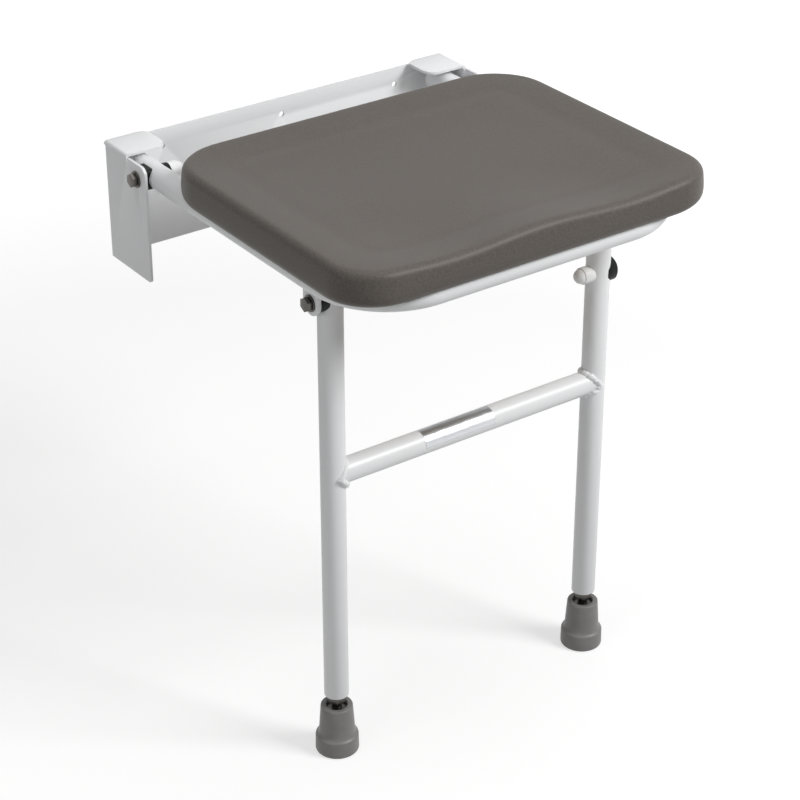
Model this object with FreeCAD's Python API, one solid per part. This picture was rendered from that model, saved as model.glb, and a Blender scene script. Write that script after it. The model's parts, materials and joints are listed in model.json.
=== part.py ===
"""Fold down wall seat: a padded seat on a tube frame, hinged in a wall bracket, with drop-down legs.

Units are millimetres. The origin is on the wall plane at the middle of the top row of wall
fixing holes. +Z is up, +Y goes into the wall and -Y points out into the room, towards the sitter.
"""
import FreeCAD, Part
import math
import os
from FreeCAD import Placement, Rotation, Vector

# Wall bracket, folded from one sheet
bracket_width = 424.0
bracket_height = 125.0
bracket_depth = 82.0
sheet = 3.0
bend_inner_radius = 1.0
cheek_front_top_radius = 9.0
cheek_front_bottom_radius = 3.0
tab_width = 48.5
tab_depth = 45.0
tab_front_radius = 13.0
tab_rear_radius = 11.0
tab_relief_width = 2.5
tab_relief_depth = 4.0

# Wall fixing holes
fixing_hole_radius = 3.25
fixing_pitch_top = 293.0
fixing_pitch_bottom = 146.0
fixing_edge_distance = 18.5

# Wall pivot
pivot_drop = 16.5
pivot_out = 64.4

# Tube of the seat frame and of the legs
tube_diameter = 25.4
tube_wall = 1.6
seat_reach = 436.0
frame_bend_radius = 76.0
tube_tail = 46.4
plug_lip = 2.0
plug_length = 14.0

# Fasteners, metric M8 and M10
bolt_diameter = 8.0
bolt_head_across_flats = 13.0
bolt_head_height = 5.3
bolt_beyond_nut = 2.0
nut_height = 6.5
washer_diameter = 17.0
washer_thickness = 1.6
running_clearance = 0.08
side_gap = 0.2
rest_gap = 0.3

# Nylon saddles between tube and sheet
saddle_thickness = 5.0
saddle_wrap = 5.6
wall_saddle_length = 23.0
wall_saddle_height = 22.0
wall_saddle_corner = 4.5
leg_saddle_diameter = 22.4

# Domed nut caps
cap_dome_diameter = 15.6
cap_skirt_diameter = 17.8
cap_skirt_height = 9.6
cap_rim_radius = 0.6
cap_washer_thickness = 1.5
cap_inner_washer_diameter = 14.0
wall_cap_stand_off = 2.6

# Lugs under the side tubes
lug_thickness = 4.0
lug_drop = 33.0
lug_set_back = 99.5
lug_inset = 5.9
lug_end_share = 0.99

# Leg frame
leg_top_above_pivot = 18.0
leg_below_pivot = 455.3
crossbar_below_pivot = 193.0
buffer_below_pivot = 66.5
buffer_height = 8.4
buffer_skirt = 2.6
buffer_lip = 3.0
buffer_overlap = 0.6
insert_length = 24.0

# Adjustable feet
stud_diameter = 10.0
stud_in_leg = 55.0
stud_hex_across_flats = 17.0
stud_hex_height = 8.0
stud_hex_gap = 1.0
ferrule_gap = 13.8
ferrule_height = 55.5
ferrule_top_diameter = 33.5
ferrule_waist_diameter = 37.0
ferrule_shoulder_diameter = 44.4
ferrule_base_diameter = 45.4
ferrule_waist_height = 28.0
ferrule_band_height = 20.0
ferrule_edge_radius = 2.2
ferrule_lip_radius = 1.4
ferrule_shoulder_radius = 2.4
ferrule_flare_radius = 4.0
ferrule_bore_diameter = 21.6
ferrule_sole = 12.0
cup_recess = 3.5
swivel_diameter = 15.0
swivel_height = 5.0

# Cross members that carry the pad
strap_thickness = 3.0
strap_width = 30.0
strap_set_back = 92.0
angle_leg = 22.0
angle_drop = 16.0

# Pad and its board
board_thickness = 9.0
board_side_gap = 2.5
board_rear_margin = 12.0
pad_bottom_above_tube = 4.8
pad_side_overhang = 0.4
pad_front_set_back = 4.9
pad_rear_set_back = 61.3
pad_height = 39.0
pad_bulge = 11.8
pad_bulge_rise = 13.0
pad_side_draft = 1.0
pad_front_foot_radius = 55.5
pad_front_corner_radius = 47.0
pad_rear_foot_radius = 59.3
pad_rear_corner_radius = 62.7
pad_rim_radius = 9.0
pad_dish_depth = 8.5
pad_thigh_depth = 5.0
pad_thigh_pitch = 206.0
pad_thigh_reach = 140.0
screw_diameter = 5.0
screw_head_diameter = 9.5
screw_head_height = 2.6
screw_length = 11.0
screw_spread = 240.0

# Places that follow from the sizes above
tube_radius = tube_diameter / 2
lug_width = tube_diameter
buffer_diameter = tube_diameter + buffer_overlap
plate_top = fixing_edge_distance
plate_bottom = plate_top - bracket_height
tab_top = plate_top + sheet
bend_outer_radius = bend_inner_radius + sheet
cheek_outer_x = bracket_width / 2
cheek_inner_x = cheek_outer_x - sheet
pivot_y = -pivot_out
pivot_z = plate_top - pivot_drop
side_tube_x = cheek_inner_x - side_gap - saddle_thickness - tube_radius
front_tube_y = -seat_reach
tail_y = pivot_y + tube_tail
lug_y = front_tube_y + lug_set_back
lug_z = pivot_z - lug_drop
lug_outer_x = side_tube_x - lug_inset
lug_inner_x = lug_outer_x - lug_thickness
leg_x = lug_inner_x - side_gap - saddle_thickness - tube_radius
leg_top_z = lug_z + leg_top_above_pivot
leg_end_z = lug_z - leg_below_pivot
crossbar_z = lug_z - crossbar_below_pivot
buffer_z = lug_z - buffer_below_pivot
ferrule_top_z = leg_end_z - ferrule_gap
floor_z = ferrule_top_z - ferrule_height
strap_y = pivot_y - strap_set_back
stop_y = lug_y + tube_radius + rest_gap
pad_bottom_z = pivot_z + pad_bottom_above_tube
pad_top_z = pad_bottom_z + pad_height
strap_low_z = pad_bottom_z - strap_thickness
pad_foot_half_width = side_tube_x + tube_radius + pad_side_overhang
pad_foot_front_y = front_tube_y - tube_radius + pad_front_set_back
pad_foot_rear_y = pivot_y - pad_rear_set_back
pad_middle_y = (pad_foot_front_y + pad_foot_rear_y) / 2
pad_half_depth = (pad_foot_rear_y - pad_foot_front_y) / 2

X_AXIS = Vector(1, 0, 0)
Y_AXIS = Vector(0, 1, 0)
Z_AXIS = Vector(0, 0, 1)
SIDES = (-1, 1)


def disc_x(diameter, x_from, x_to, y, z):
    """A round bar along X between two X values."""
    low = min(x_from, x_to)
    return Part.makeCylinder(diameter / 2, abs(x_to - x_from), Vector(low, y, z), X_AXIS)


def disc_z(diameter, z_from, z_to, x, y):
    """A round bar along Z between two Z values."""
    low = min(z_from, z_to)
    return Part.makeCylinder(diameter / 2, abs(z_to - z_from), Vector(x, y, low), Z_AXIS)


def block(x_from, x_to, y_from, y_to, z_from, z_to):
    """A plain box between two corners given in any order."""
    size = (abs(x_to - x_from), abs(y_to - y_from), abs(z_to - z_from))
    corner = Vector(min(x_from, x_to), min(y_from, y_to), min(z_from, z_to))
    return Part.makeBox(size[0], size[1], size[2], corner)


def rounded_face(corners, lift):
    """A flat face from corners (a, b, radius), each corner rounded by a tangent arc.

    lift turns the flat pair (a, b) into a point in space.
    """
    count = len(corners)
    edges = []
    joints = []
    for i, (a, b, radius) in enumerate(corners):
        here = Vector(a, b, 0)
        before = Vector(corners[i - 1][0], corners[i - 1][1], 0) - here
        after = Vector(corners[(i + 1) % count][0], corners[(i + 1) % count][1], 0) - here
        before.normalize()
        after.normalize()
        if radius <= 0:
            joints.append((here, None, here))
            continue
        half_angle = before.getAngle(after) / 2
        back = radius / math.tan(half_angle)
        bisector = before + after
        bisector.normalize()
        centre = here + bisector * (radius / math.sin(half_angle))
        joints.append((here + before * back, centre - bisector * radius, here + after * back))
    for i, (start, middle, end) in enumerate(joints):
        if middle is not None:
            edges.append(Part.Arc(lift(start), lift(middle), lift(end)).toShape())
        following = joints[(i + 1) % count][0]
        if (following - end).Length > 1e-6:
            edges.append(Part.LineSegment(lift(end), lift(following)).toShape())
    return Part.Face(Part.Wire(edges))


def hexagon(across_flats, axis, height, base):
    """A hexagonal prism that grows from base along axis, with its corners chamfered at the far end."""
    corner_radius = across_flats / math.sqrt(3)
    points = []
    for i in range(7):
        angle = math.radians(60 * i)
        points.append(Vector(corner_radius * math.cos(angle), corner_radius * math.sin(angle), 0))
    prism = Part.Face(Part.makePolygon(points)).extrude(Vector(0, 0, height))
    cone = Part.makeCone(corner_radius + height, across_flats / 2 * 0.95, height + corner_radius
                         - across_flats / 2 * 0.95)
    prism = prism.common(cone)
    prism.Placement = Placement(base, Rotation(Z_AXIS, axis))
    return prism


def wall_bracket():
    """Back plate, two cheeks and two tabs over the tube ends, all folded from one sheet."""
    outer = rounded_face(
        [(-cheek_outer_x, 0, bend_outer_radius), (cheek_outer_x, 0, bend_outer_radius),
         (cheek_outer_x, -bracket_depth, 0), (-cheek_outer_x, -bracket_depth, 0)],
        lambda p: Vector(p.x, p.y, plate_bottom))
    inner = rounded_face(
        [(-cheek_inner_x, -sheet, bend_inner_radius), (cheek_inner_x, -sheet, bend_inner_radius),
         (cheek_inner_x, -2 * bracket_depth, 0), (-cheek_inner_x, -2 * bracket_depth, 0)],
        lambda p: Vector(p.x, p.y, plate_bottom))
    channel = outer.extrude(Vector(0, 0, bracket_height))
    channel = channel.cut(inner.extrude(Vector(0, 0, bracket_height)))
    side_view = rounded_face(
        [(0, plate_bottom, 0), (0, plate_top, 0),
         (-bracket_depth, plate_top, cheek_front_top_radius),
         (-bracket_depth, plate_bottom, cheek_front_bottom_radius)],
        lambda p: Vector(-bracket_width, p.x, p.y))
    channel = channel.common(side_view.extrude(Vector(2 * bracket_width, 0, 0)))
    bend_z = tab_top - bend_outer_radius
    for side in SIDES:
        inward = -side
        channel = channel.cut(block(
            side * (cheek_outer_x + sheet), side * (cheek_inner_x - bend_inner_radius),
            sheet, -tab_depth, bend_z, tab_top + sheet))
        relief_from = -tab_depth
        channel = channel.cut(block(
            side * (cheek_outer_x + sheet), side * (cheek_inner_x - sheet),
            relief_from, relief_from - tab_relief_width,
            plate_top - tab_relief_depth, tab_top + sheet))
        bend_x = side * (cheek_outer_x - bend_outer_radius)
        bend = Part.makeCylinder(bend_outer_radius, tab_depth, Vector(bend_x, -tab_depth, bend_z), Y_AXIS)
        bend = bend.cut(Part.makeCylinder(
            bend_inner_radius, tab_depth, Vector(bend_x, -tab_depth, bend_z), Y_AXIS))
        bend = bend.common(block(bend_x, side * (cheek_outer_x + sheet), 0, -tab_depth, bend_z, tab_top + sheet))
        tab_inner_x = side * (cheek_outer_x - tab_width)
        plate = rounded_face(
            [(bend_x, 0, 0), (bend_x, -tab_depth, 0), (tab_inner_x, -tab_depth, tab_front_radius),
             (tab_inner_x, 0, tab_rear_radius)],
            lambda p: Vector(p.x, p.y, plate_top))
        channel = channel.fuse([bend, plate.extrude(Vector(0, 0, sheet))])
    holes = []
    for x in (-fixing_pitch_top / 2, 0, fixing_pitch_top / 2):
        holes.append((x, 0))
    for x in (-fixing_pitch_bottom / 2, fixing_pitch_bottom / 2):
        holes.append((x, plate_bottom + fixing_edge_distance))
    for x, z in holes:
        channel = channel.cut(Part.makeCylinder(
            fixing_hole_radius, 4 * sheet, Vector(x, -2 * sheet, z), Y_AXIS))
    channel = channel.cut(disc_x(
        bolt_diameter + 2 * running_clearance, -bracket_width, bracket_width, pivot_y, pivot_z))
    return channel.removeSplitter()


def frame_sweep(radius):
    """A round bar of the given radius along the U-shaped path of the seat frame."""
    bend_y = front_tube_y + frame_bend_radius
    bend_x = side_tube_x - frame_bend_radius
    chord = frame_bend_radius * math.sqrt(0.5)
    left_tail = Vector(-side_tube_x, tail_y, pivot_z)
    left_bend = Vector(-side_tube_x, bend_y, pivot_z)
    left_front = Vector(-bend_x, front_tube_y, pivot_z)
    right_front = Vector(bend_x, front_tube_y, pivot_z)
    right_bend = Vector(side_tube_x, bend_y, pivot_z)
    right_tail = Vector(side_tube_x, tail_y, pivot_z)
    left_middle = Vector(-bend_x - chord, bend_y - chord, pivot_z)
    right_middle = Vector(bend_x + chord, bend_y - chord, pivot_z)
    path = Part.Wire([
        Part.LineSegment(left_tail, left_bend).toShape(),
        Part.Arc(left_bend, left_middle, left_front).toShape(),
        Part.LineSegment(left_front, right_front).toShape(),
        Part.Arc(right_front, right_middle, right_bend).toShape(),
        Part.LineSegment(right_bend, right_tail).toShape(),
    ])
    section = Part.Wire(Part.makeCircle(radius, left_tail, Y_AXIS))
    return path.makePipeShell([section], True, False)


def side_bolt_hole(y, z):
    """A clearance hole for a bolt, right across the seat along X."""
    return disc_x(bolt_diameter + 2 * running_clearance, -bracket_width, bracket_width, y, z)


def seat_tube():
    """The bent tube that carries the pad, open at both tails and drilled for the wall pivots."""
    tube = frame_sweep(tube_radius).cut(frame_sweep(tube_radius - tube_wall))
    return tube.cut(side_bolt_hole(pivot_y, pivot_z))


def tube_plugs():
    """Push-in plugs that close the tails of the seat tube."""
    plugs = []
    for side in SIDES:
        lip = Part.makeCylinder(tube_radius, plug_lip, Vector(side * side_tube_x, tail_y, pivot_z), Y_AXIS)
        lip = lip.makeFillet(plug_lip * 0.6, [lip.Edges[0]])
        core = Part.makeCylinder(tube_radius - tube_wall, plug_length, Vector(
            side * side_tube_x, tail_y - plug_length, pivot_z), Y_AXIS)
        plugs.append(lip.fuse(core).removeSplitter())
    return plugs


def wall_tube(side):
    """The straight part of the seat tube at the wall, as a solid bar to cut with."""
    return Part.makeCylinder(
        tube_radius, 2 * tube_tail, Vector(side * side_tube_x, pivot_y - tube_tail, pivot_z), Y_AXIS)


def wall_saddles():
    """Nylon blocks that space the seat tube from the cheeks and wrap part of the way round it."""
    saddles = []
    for side in SIDES:
        outer_x = side * (cheek_inner_x - side_gap)
        length = saddle_thickness + saddle_wrap
        half_y = wall_saddle_length / 2
        half_z = wall_saddle_height / 2
        outline = rounded_face(
            [(pivot_y - half_y, pivot_z - half_z, wall_saddle_corner),
             (pivot_y + half_y, pivot_z - half_z, wall_saddle_corner),
             (pivot_y + half_y, pivot_z + half_z, wall_saddle_corner),
             (pivot_y - half_y, pivot_z + half_z, wall_saddle_corner)],
            lambda p: Vector(outer_x, p.x, p.y))
        body = outline.extrude(Vector(-side * length, 0, 0))
        saddles.append(body.cut(wall_tube(side)).cut(side_bolt_hole(pivot_y, pivot_z)))
    return saddles


def leg_saddles():
    """Round nylon spacers between lug and leg, hollowed to sit on the leg tube."""
    saddles = []
    for side in SIDES:
        outer_x = side * (lug_inner_x - side_gap)
        body = disc_x(leg_saddle_diameter, outer_x, outer_x - side * (saddle_thickness + saddle_wrap), lug_y, lug_z)
        body = body.cut(disc_z(tube_diameter, lug_z - tube_diameter, lug_z + tube_diameter, side * leg_x, lug_y))
        saddles.append(body.cut(side_bolt_hole(lug_y, lug_z)))
    return saddles


def pivot_bolts(face_x, tube_inner_x, stack, y, z):
    """Hexagon head bolts, one each side, from outside the carrier, through the tube and the stack under the nut."""
    bolts = []
    for side in SIDES:
        head_x = side * (face_x + side_gap + washer_thickness)
        end_x = side * (tube_inner_x - stack - nut_height - bolt_beyond_nut)
        shank = disc_x(bolt_diameter, head_x, end_x, y, z)
        head = hexagon(bolt_head_across_flats, Vector(side, 0, 0), bolt_head_height, Vector(head_x, y, z))
        bolts.append(head.fuse(shank))
    return bolts


def washers(face_x, y, z):
    """Plain washers under the bolt heads, one each side."""
    rings = []
    for side in SIDES:
        inner_x = side * (face_x + side_gap)
        ring = disc_x(washer_diameter, inner_x, inner_x + side * washer_thickness, y, z)
        rings.append(ring.cut(disc_x(bolt_diameter, inner_x - side, inner_x + side * 2 * washer_thickness, y, z)))
    return rings


def nuts(seat_x, stack, y, z, sides=SIDES):
    """Hexagon nuts on the inner side of the tube, behind their washer or collar."""
    pieces = []
    for side in sides:
        start_x = side * (seat_x - stack)
        nut = hexagon(bolt_head_across_flats, Vector(-side, 0, 0), nut_height, Vector(start_x, y, z))
        pieces.append(nut.cut(disc_x(bolt_diameter, start_x + side, start_x - side * 2 * nut_height, y, z)))
    return pieces


def cap_washers(seat_x, y, z, sides=SIDES):
    """Small steel washers under the nuts, inside the caps of the leg frame."""
    rings = []
    for side in sides:
        start_x = side * seat_x
        end_x = start_x - side * cap_washer_thickness
        ring = disc_x(cap_inner_washer_diameter, start_x, end_x, y, z)
        rings.append(ring.cut(disc_x(bolt_diameter, start_x + side, end_x - side, y, z)))
    return rings


def wall_collars():
    """Nylon collars between the seat tube and the wall caps, hollowed to sit on the tube."""
    collars = []
    for side in SIDES:
        end_x = side * (side_tube_x - tube_radius - wall_cap_stand_off)
        collar = disc_x(cap_skirt_diameter, side * side_tube_x, end_x, pivot_y, pivot_z)
        collar = collar.cut(wall_tube(side))
        collars.append(collar.cut(disc_x(bolt_diameter, side * side_tube_x, end_x - side, pivot_y, pivot_z)))
    return collars


def nut_cap(side, seat_x, stack, y, z, around=None):
    """A domed plastic cap over a nut: a skirt, a small step and a round end.

    It sits flat on seat_x, or runs on down to a tube given as a bar to cut with.
    """
    start_x = side * seat_x
    step_x = start_x - side * cap_skirt_height
    skirt = disc_x(cap_skirt_diameter, start_x, step_x, y, z)
    rim = min(skirt.Edges, key=lambda edge: abs(edge.CenterOfMass.x - step_x))
    cap = skirt.makeFillet(cap_rim_radius, [rim])
    if around is not None:
        cap = cap.fuse(disc_x(cap_skirt_diameter, start_x + side * tube_radius, start_x, y, z))
    cap = cap.fuse(Part.makeSphere(cap_dome_diameter / 2, Vector(step_x, y, z))).removeSplitter()
    pocket_radius = bolt_head_across_flats / math.sqrt(3) + running_clearance
    pocket_depth = stack + nut_height + bolt_beyond_nut + rest_gap
    cap = cap.cut(disc_x(2 * pocket_radius, start_x + side * tube_diameter, start_x - side * pocket_depth, y, z))
    return cap if around is None else cap.cut(around)


def wall_caps():
    """The caps on the wall pivots, each on its collar."""
    face_x = side_tube_x - tube_radius - wall_cap_stand_off
    return [nut_cap(side, face_x, 0, pivot_y, pivot_z) for side in SIDES]


def leg_caps(z, sides=SIDES):
    """Caps on the inner sides of the legs at height z."""
    caps = []
    for side in sides:
        leg = disc_z(tube_diameter, z - tube_diameter, z + tube_diameter, side * leg_x, lug_y)
        caps.append(nut_cap(side, leg_x - tube_radius, cap_washer_thickness, lug_y, z, leg))
    return caps


def leg_lugs():
    """Flat lugs welded under the side tubes, coped to the tube and rounded at the pivot end."""
    lugs = []
    for side in SIDES:
        half = lug_width / 2
        plate = rounded_face(
            [(lug_y - half, lug_z - half, half * lug_end_share),
             (lug_y + half, lug_z - half, half * lug_end_share),
             (lug_y + half, pivot_z, 0), (lug_y - half, pivot_z, 0)],
            lambda p: Vector(side * lug_inner_x, p.x, p.y))
        plate = plate.extrude(Vector(side * lug_thickness, 0, 0))
        plate = plate.cut(frame_sweep(tube_radius))
        plate = max(plate.Solids, key=lambda solid: solid.Volume)
        lugs.append(plate.cut(side_bolt_hole(lug_y, lug_z)))
    return lugs


def leg_tube(side):
    """One upright leg, drilled for its pivot and, on the right leg, for the buffer."""
    x = side * leg_x
    tube = disc_z(tube_diameter, leg_end_z, leg_top_z, x, lug_y)
    tube = tube.cut(disc_z(tube_diameter - 2 * tube_wall, leg_end_z, leg_top_z, x, lug_y))
    tube = tube.cut(disc_x(bolt_diameter, x - tube_diameter, x + tube_diameter, lug_y, lug_z))
    if side > 0:
        tube = tube.cut(disc_x(bolt_diameter, x - tube_diameter, x + tube_diameter, lug_y, buffer_z))
    return tube


def crossbar():
    """The tie tube between the legs, coped to fit round both of them."""
    outer = disc_x(tube_diameter, -leg_x, leg_x, lug_y, crossbar_z)
    bar = outer.cut(disc_x(tube_diameter - 2 * tube_wall, -leg_x, leg_x, lug_y, crossbar_z))
    for side in SIDES:
        bar = bar.cut(disc_z(tube_diameter, crossbar_z - tube_diameter, crossbar_z + tube_diameter, side * leg_x, lug_y))
    return max(bar.Solids, key=lambda solid: solid.Volume)


def leg_plugs():
    """Push-in plugs that close the tops of the legs."""
    plugs = []
    for side in SIDES:
        lip = disc_z(tube_diameter, leg_top_z, leg_top_z + plug_lip, side * leg_x, lug_y)
        top_edge = max(lip.Edges, key=lambda edge: edge.CenterOfMass.z)
        lip = lip.makeFillet(plug_lip * 0.6, [top_edge])
        room = leg_top_z - lug_z - bolt_diameter / 2 - rest_gap
        core = disc_z(tube_diameter - 2 * tube_wall, leg_top_z - room * 0.8, leg_top_z, side * leg_x, lug_y)
        plugs.append(lip.fuse(core).removeSplitter())
    return plugs


def leg_inserts():
    """Threaded inserts pressed flush into the lower ends of the legs."""
    inserts = []
    for side in SIDES:
        body = disc_z(tube_diameter - 2 * tube_wall, leg_end_z, leg_end_z + insert_length, side * leg_x, lug_y)
        bore = disc_z(stud_diameter + 2 * running_clearance, leg_end_z - 1, leg_end_z + insert_length + 1, side * leg_x, lug_y)
        inserts.append(body.cut(bore))
    return inserts


def leg_buffer():
    """Rubber buffer on the outside of the right leg: a short skirt hollowed to sit on the tube, and a dome."""
    seat_x = leg_x + tube_radius
    skirt_x = seat_x + buffer_skirt
    radius = buffer_diameter / 2
    rise = buffer_height - buffer_skirt
    dome_radius = (radius ** 2 + rise ** 2) / (2 * rise)
    dome = Part.makeSphere(dome_radius, Vector(skirt_x + rise - dome_radius, lug_y, buffer_z))
    dome = dome.common(disc_x(buffer_diameter, skirt_x, skirt_x + 2 * rise, lug_y, buffer_z))
    skirt = disc_x(buffer_diameter, skirt_x, seat_x - buffer_lip, lug_y, buffer_z)
    body = dome.fuse(skirt).removeSplitter()
    body = body.cut(disc_z(tube_diameter, buffer_z - buffer_diameter, buffer_z + buffer_diameter, leg_x, lug_y))
    return body.cut(disc_x(bolt_diameter, seat_x - buffer_diameter, seat_x + buffer_height / 2, lug_y, buffer_z))


def buffer_bolt():
    """The stud that is moulded into the buffer and passes through the leg."""
    end_x = leg_x - tube_radius - cap_washer_thickness - nut_height - bolt_beyond_nut
    return disc_x(bolt_diameter, end_x, leg_x + tube_radius + buffer_height / 2, lug_y, buffer_z)


def foot_stud(side):
    """Threaded stud with an adjusting hexagon and a swivel disc at its foot."""
    x = side * leg_x
    hex_top = leg_end_z - stud_hex_gap
    disc_top = ferrule_top_z - cup_recess - rest_gap - swivel_height / 2
    shank = disc_z(stud_diameter, disc_top, leg_end_z + stud_in_leg, x, lug_y)
    head = hexagon(stud_hex_across_flats, Vector(0, 0, -1), stud_hex_height, Vector(x, lug_y, hex_top))
    swivel = disc_z(swivel_diameter, disc_top - swivel_height, disc_top, x, lug_y)
    stud = shank.fuse([head, swivel])
    return stud.removeSplitter()


def foot_cup(side):
    """Steel cup pushed into the ferrule, closed round the stud's swivel disc."""
    x = side * leg_x
    disc_top = ferrule_top_z - cup_recess - rest_gap - swivel_height / 2
    bore_bottom = floor_z + ferrule_sole
    cup = disc_z(ferrule_bore_diameter, bore_bottom, ferrule_top_z - cup_recess, x, lug_y)
    cup = cup.cut(disc_z(
        swivel_diameter + 2 * running_clearance, disc_top - swivel_height - running_clearance,
        disc_top + running_clearance, x, lug_y))
    return cup.cut(disc_z(
        stud_diameter + 2 * running_clearance, disc_top, ferrule_top_z, x, lug_y))


def foot_ferrule(side):
    """Rubber ferrule: a slightly tapered sleeve that flares to a wider base band, round a blind bore."""
    x = side * leg_x
    bore_radius = ferrule_bore_diameter / 2
    bore_bottom = floor_z + ferrule_sole
    outline = rounded_face(
        [(0, floor_z, 0),
         (ferrule_base_diameter / 2, floor_z, ferrule_edge_radius),
         (ferrule_shoulder_diameter / 2, floor_z + ferrule_band_height, ferrule_shoulder_radius),
         (ferrule_waist_diameter / 2, ferrule_top_z - ferrule_waist_height, ferrule_flare_radius),
         (ferrule_top_diameter / 2, ferrule_top_z, ferrule_lip_radius),
         (bore_radius, ferrule_top_z, ferrule_lip_radius / 2),
         (bore_radius, bore_bottom, 0),
         (0, bore_bottom, 0)],
        lambda p: Vector(x + p.x, lug_y, p.y))
    return outline.revolve(Vector(x, lug_y, 0), Z_AXIS, 360)


def cross_bar_between(z_from, z_to, y_from, y_to):
    """A flat strip from side tube to side tube, cut to fit round them."""
    strip = block(-side_tube_x, side_tube_x, y_from, y_to, z_from, z_to)
    strip = strip.cut(frame_sweep(tube_radius))
    return max(strip.Solids, key=lambda solid: solid.Volume)


def screw_places():
    """The four places where screws go up into the pad board."""
    front_y = stop_y + strap_thickness + (angle_leg - strap_thickness) / 2
    return [(side * screw_spread / 2, y) for side in SIDES for y in (strap_y, front_y)]


def with_screw_holes(shape):
    """Clear the four screw holes in a carrier."""
    for x, y in screw_places():
        shape = shape.cut(disc_z(screw_diameter, strap_low_z - strap_thickness, pad_bottom_z + strap_thickness, x, y))
    return shape


def front_angle():
    """Angle section behind the leg tops: it carries the pad and stops the legs upright."""
    flat = cross_bar_between(strap_low_z, pad_bottom_z, stop_y, stop_y + angle_leg)
    upright = cross_bar_between(pivot_z - angle_drop, pad_bottom_z, stop_y, stop_y + strap_thickness)
    return with_screw_holes(flat.fuse(upright).removeSplitter())


def rear_strap():
    """Flat strap that carries the rear of the pad."""
    half = strap_width / 2
    return with_screw_holes(cross_bar_between(strap_low_z, pad_bottom_z, strap_y - half, strap_y + half))


def board_outline(z):
    """The board's outline between the side tubes, as a flat face at height z."""
    half = side_tube_x - tube_radius - board_side_gap
    rear = pad_foot_rear_y - board_rear_margin
    front = front_tube_y + tube_radius + board_side_gap
    corner = frame_bend_radius - tube_radius - board_side_gap
    return rounded_face(
        [(-half, rear, board_side_gap), (half, rear, board_side_gap),
         (half, front, corner), (-half, front, corner)],
        lambda p: Vector(p.x, p.y, z))


def pad_board():
    """Stiff board in the underside of the pad, between the side tubes."""
    board = board_outline(pad_bottom_z).extrude(Vector(0, 0, board_thickness))
    for x, y in screw_places():
        board = board.cut(disc_z(screw_diameter, strap_low_z, strap_low_z + screw_length, x, y))
    return board


def pad_screws():
    """Pan head screws from below, through the carriers into the board."""
    screws = []
    for x, y in screw_places():
        shank = disc_z(screw_diameter, strap_low_z, strap_low_z + screw_length, x, y)
        head = disc_z(screw_head_diameter, strap_low_z - screw_head_height, strap_low_z, x, y)
        low_edge = min(head.Edges, key=lambda edge: edge.CenterOfMass.z)
        head = head.makeFillet(screw_head_height * 0.5, [low_edge])
        screws.append(head.fuse(shank).removeSplitter())
    return screws


def pad_plan(offset, z):
    """The pad's plan at height z, a given offset outside its lower edge."""
    share = offset / pad_bulge
    front_corner = pad_front_foot_radius + (pad_front_corner_radius - pad_front_foot_radius) * share
    rear_corner = pad_rear_foot_radius + (pad_rear_corner_radius - pad_rear_foot_radius) * share
    half = pad_foot_half_width + offset
    front = pad_foot_front_y - offset
    rear = pad_foot_rear_y + offset
    outline = rounded_face(
        [(-half, front, front_corner), (half, front, front_corner),
         (half, rear, rear_corner), (-half, rear, rear_corner)],
        lambda p: Vector(p.x, p.y, z))
    return outline.OuterWire


def pad_body():
    """The pad before its top is shaped: sides that swell out from the tube, then rise with a slight draft."""
    levels = []
    steps = 4
    for i in range(steps + 1):
        turn = math.pi / 2 * i / steps
        levels.append((pad_bulge * math.sin(turn), pad_bottom_z + pad_bulge_rise * (1 - math.cos(turn))))
    levels.append((pad_bulge - pad_side_draft / 3, (pad_bottom_z + pad_bulge_rise + pad_top_z) / 2))
    levels.append((pad_bulge - pad_side_draft, pad_top_z + pad_dish_depth))
    return Part.makeLoft([pad_plan(offset, z) for offset, z in levels], True, False)


def pad_top_height(x, y):
    """Height of the pad's top: a broad dish, and two hollows for the thighs that run out at the front."""
    across = min(abs(x) / pad_foot_half_width, 1)
    along = min(abs(y - pad_middle_y) / pad_half_depth, 1)
    dish = pad_dish_depth * (1 - across ** 3) * (1 - along ** 3)
    nearness = min(max((pad_foot_front_y + pad_thigh_reach - y) / pad_thigh_reach, 0), 1)
    hollow = pad_thigh_depth * (1 - math.cos(2 * math.pi * min(abs(x) / pad_thigh_pitch, 1))) / 2
    return pad_top_z - dish - hollow * nearness ** 2 * (3 - 2 * nearness)


def above_pad():
    """The space above the pad's top, as a solid to cut with."""
    beyond = 2 * pad_bulge
    half = pad_foot_half_width + beyond
    front = pad_foot_front_y - beyond
    rear = pad_foot_rear_y + beyond
    lid_z = pad_top_z + 4 * pad_dish_depth
    rows = 12
    columns = 24
    sections = []
    for row in range(rows + 1):
        y = front + (rear - front) * row / rows
        points = []
        for column in range(columns + 1):
            x = half * (2 * column / columns - 1)
            points.append(Vector(x, y, pad_top_height(x, y)))
        curve = Part.BSplineCurve()
        curve.interpolate(points)
        left_lid = Vector(-half, y, lid_z)
        right_lid = Vector(half, y, lid_z)
        sections.append(Part.Wire([
            curve.toShape(),
            Part.LineSegment(points[-1], right_lid).toShape(),
            Part.LineSegment(right_lid, left_lid).toShape(),
            Part.LineSegment(left_lid, points[0]).toShape(),
        ]))
    return Part.makeLoft(sections, True, False)


def seat_pad():
    """Moulded foam pad: swelling sides, rounded rim, dished top, grooved over the tube and recessed for its board."""
    pad = pad_body().cut(above_pad())
    pad = max(pad.Solids, key=lambda solid: solid.Volume)
    rim = [edge for edge in pad.Edges if edge.BoundBox.ZMin > pad_bottom_z + pad_height / 2]
    pad = pad.makeFillet(pad_rim_radius, rim)
    pad = pad.cut(frame_sweep(tube_radius + rest_gap))
    pad = max(pad.Solids, key=lambda solid: solid.Volume)
    recess = board_outline(pad_bottom_z - strap_thickness).extrude(
        Vector(0, 0, board_thickness + strap_thickness))
    return pad.cut(recess)


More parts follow.
